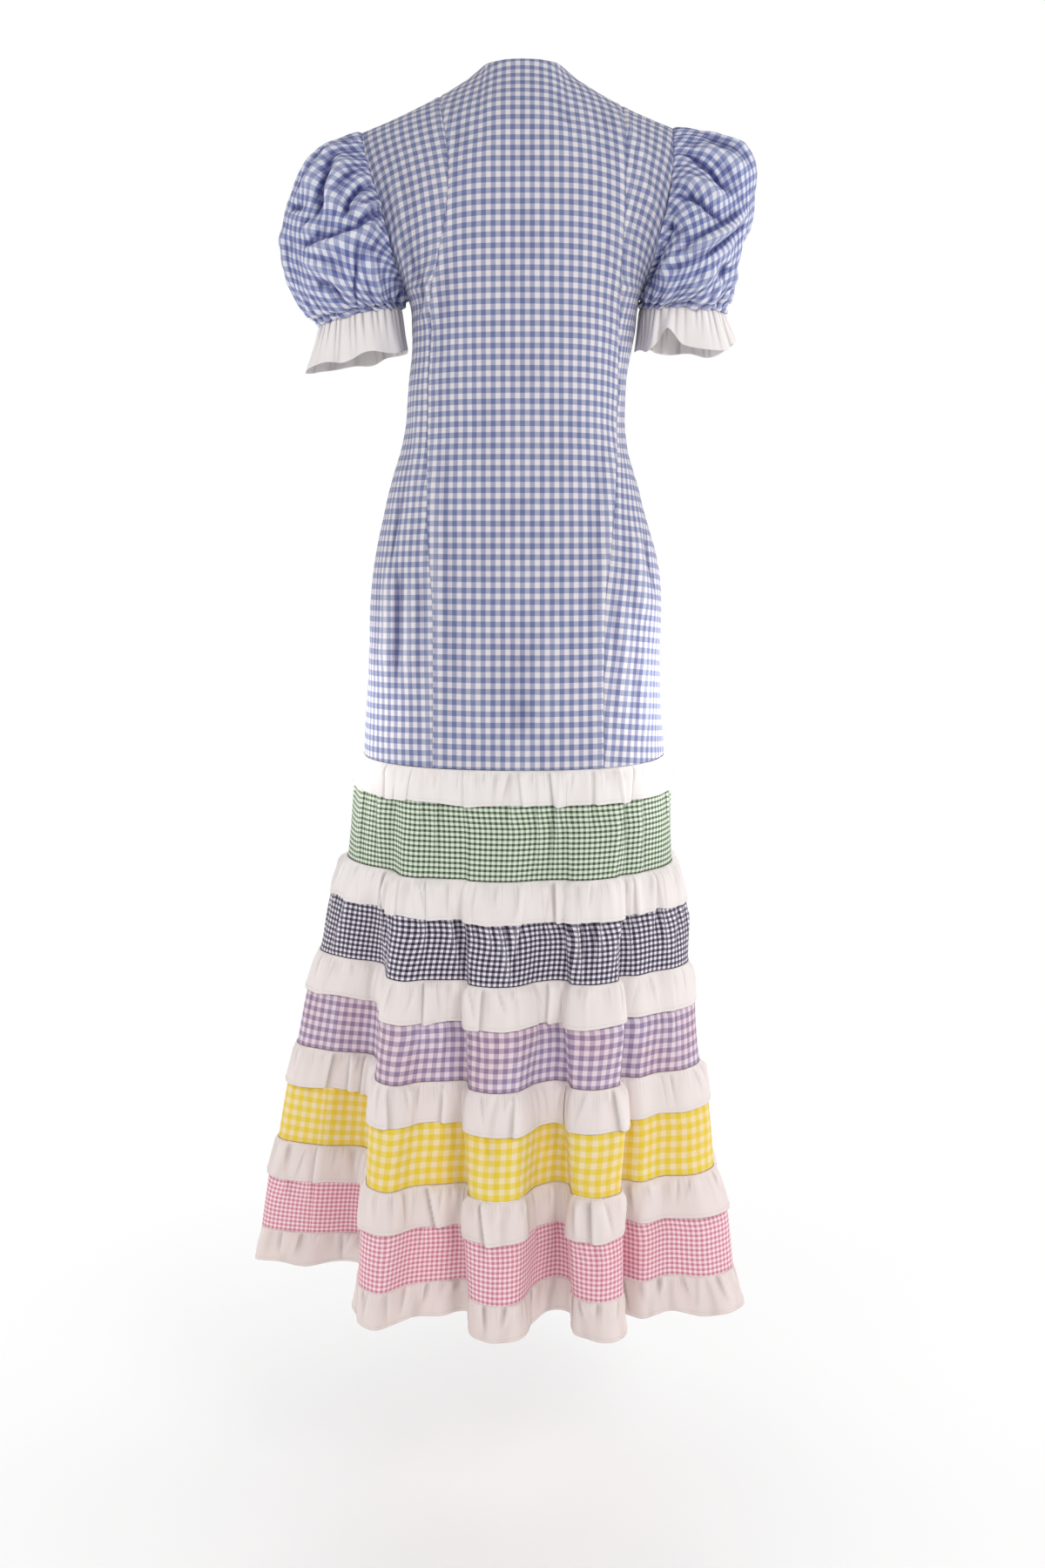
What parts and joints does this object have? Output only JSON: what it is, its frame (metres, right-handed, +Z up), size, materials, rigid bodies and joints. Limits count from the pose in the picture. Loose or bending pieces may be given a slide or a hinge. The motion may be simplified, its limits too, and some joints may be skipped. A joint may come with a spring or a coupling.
{
  "type": "midi dress",
  "caption": "Tiered gingham dress with a V neck, princess seams and short puff sleeves, in its worn hollow form, with white ruffles between bands of checked cotton.",
  "frame": {"origin": "between the shoulders at the height of the nape, where the wearer holds the dress up", "axes": "+Z up, the front faces -Y, +X is the wearer's left"},
  "size_m": [0.5633, 0.3818, 1.3466],
  "materials": {
    "blue_gingham": "matt cotton poplin, blue and white checks about 10 mm across",
    "green_gingham": "matt cotton, small green and white checks",
    "navy_gingham": "matt cotton, small navy and white checks",
    "lilac_gingham": "matt, a little sheer cotton, lilac and white checks",
    "yellow_gingham": "matt cotton, yellow and white checks",
    "pink_gingham": "matt cotton, small pink and white checks",
    "white_cotton": "matt off-white cotton with fine gathers"
  },
  "bodies": {
    "root": {"bodice_back_center": "blue_gingham", "bodice_back_side_left": "blue_gingham", "bodice_back_side_right": "blue_gingham", "bodice_front_center": "blue_gingham", "bodice_front_side_left": "blue_gingham", "bodice_front_side_right": "blue_gingham", "sleeve_left": "blue_gingham", "sleeve_right": "blue_gingham", "sleeve_ruffle_left": "white_cotton", "sleeve_ruffle_right": "white_cotton", "band_green": "green_gingham", "band_navy": "navy_gingham", "band_lilac": "lilac_gingham", "band_yellow": "yellow_gingham", "band_pink": "pink_gingham", "ruffle_1": "white_cotton", "ruffle_2": "white_cotton", "ruffle_3": "white_cotton", "ruffle_4": "white_cotton", "ruffle_5": "white_cotton", "ruffle_6": "white_cotton"}
  },
  "joints": []
}
